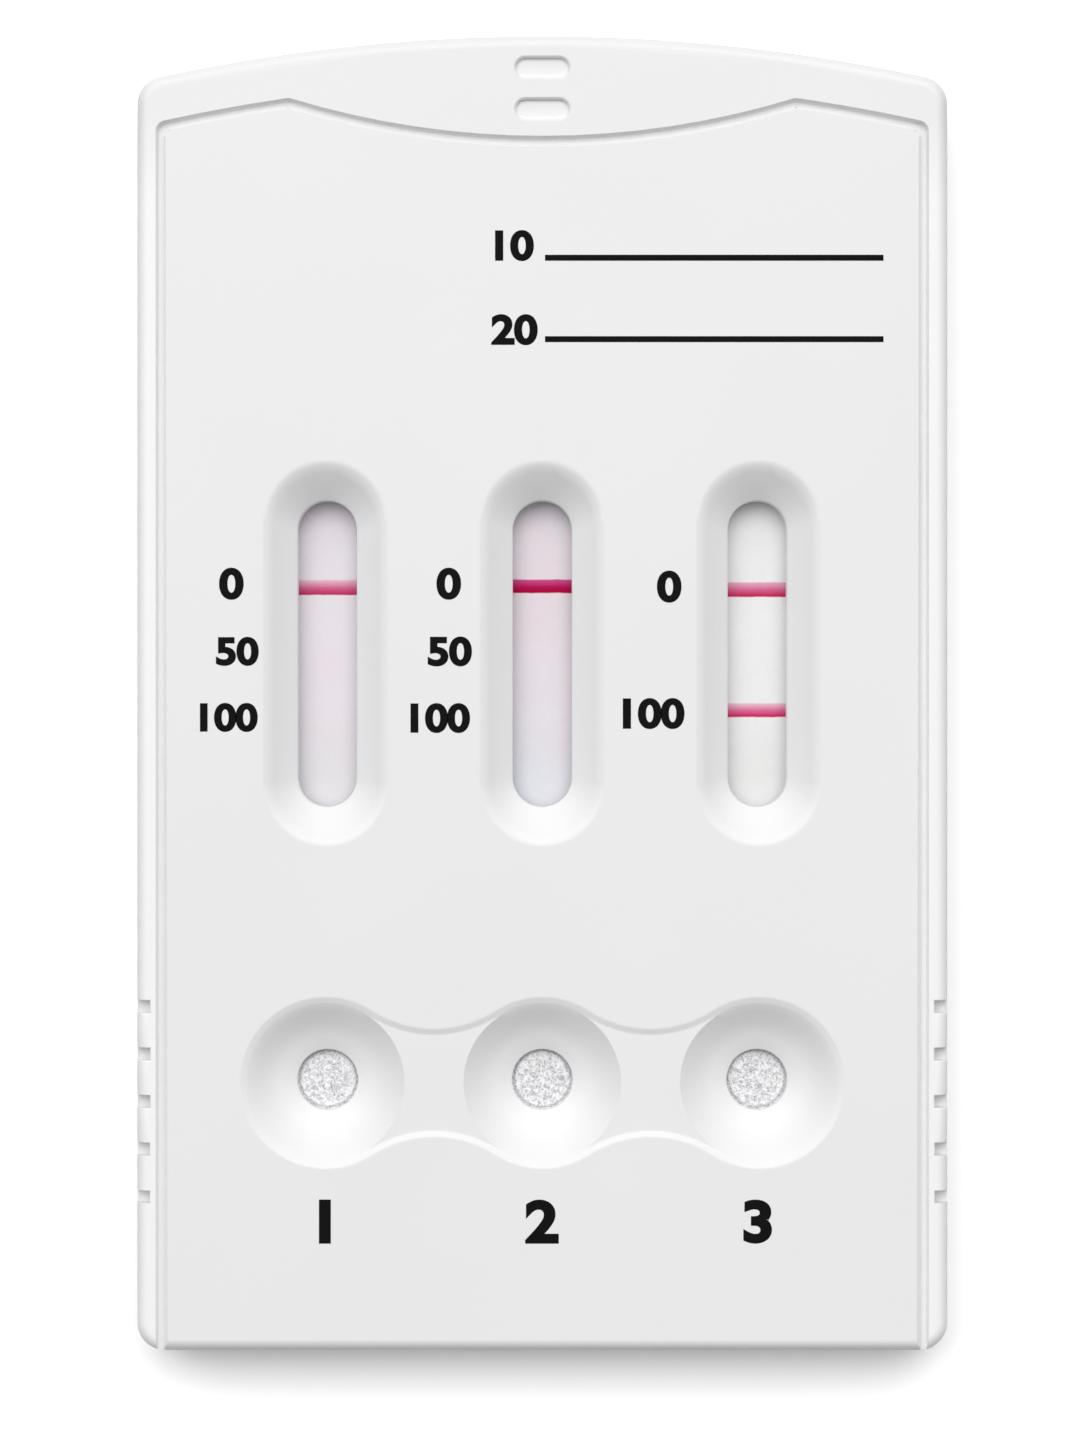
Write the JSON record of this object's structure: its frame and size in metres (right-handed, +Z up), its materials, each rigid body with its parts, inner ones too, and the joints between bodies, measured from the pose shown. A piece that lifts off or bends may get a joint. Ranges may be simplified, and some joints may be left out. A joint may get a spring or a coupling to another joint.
{
  "type": "lateral flow cassette",
  "caption": "Flat moulded cassette with an arched head, funnel-shaped result windows, linked round sample wells and test strips inside.",
  "frame": {"origin": "under the middle of the case, on the surface that it lies on", "axes": "+X across the case, +Y along the strips towards the arched head, +Z up out of the top face"},
  "size_m": [0.045, 0.073, 0.0052],
  "materials": {
    "housing": "satin",
    "card": "smooth",
    "membrane": "matte",
    "glass_fibre": "matte",
    "cotton_fibre": "matte"
  },
  "bodies": {
    "root": {"upper_housing": "housing", "lower_housing": "housing", "backing_card_1": "card", "membrane_1": "membrane", "conjugate_pad_1": "glass_fibre", "sample_pad_1": "cotton_fibre", "absorbent_pad_1": "cotton_fibre", "backing_card_2": "card", "membrane_2": "membrane", "conjugate_pad_2": "glass_fibre", "sample_pad_2": "cotton_fibre", "absorbent_pad_2": "cotton_fibre", "backing_card_3": "card", "membrane_3": "membrane", "conjugate_pad_3": "glass_fibre", "sample_pad_3": "cotton_fibre", "absorbent_pad_3": "cotton_fibre"}
  },
  "joints": []
}
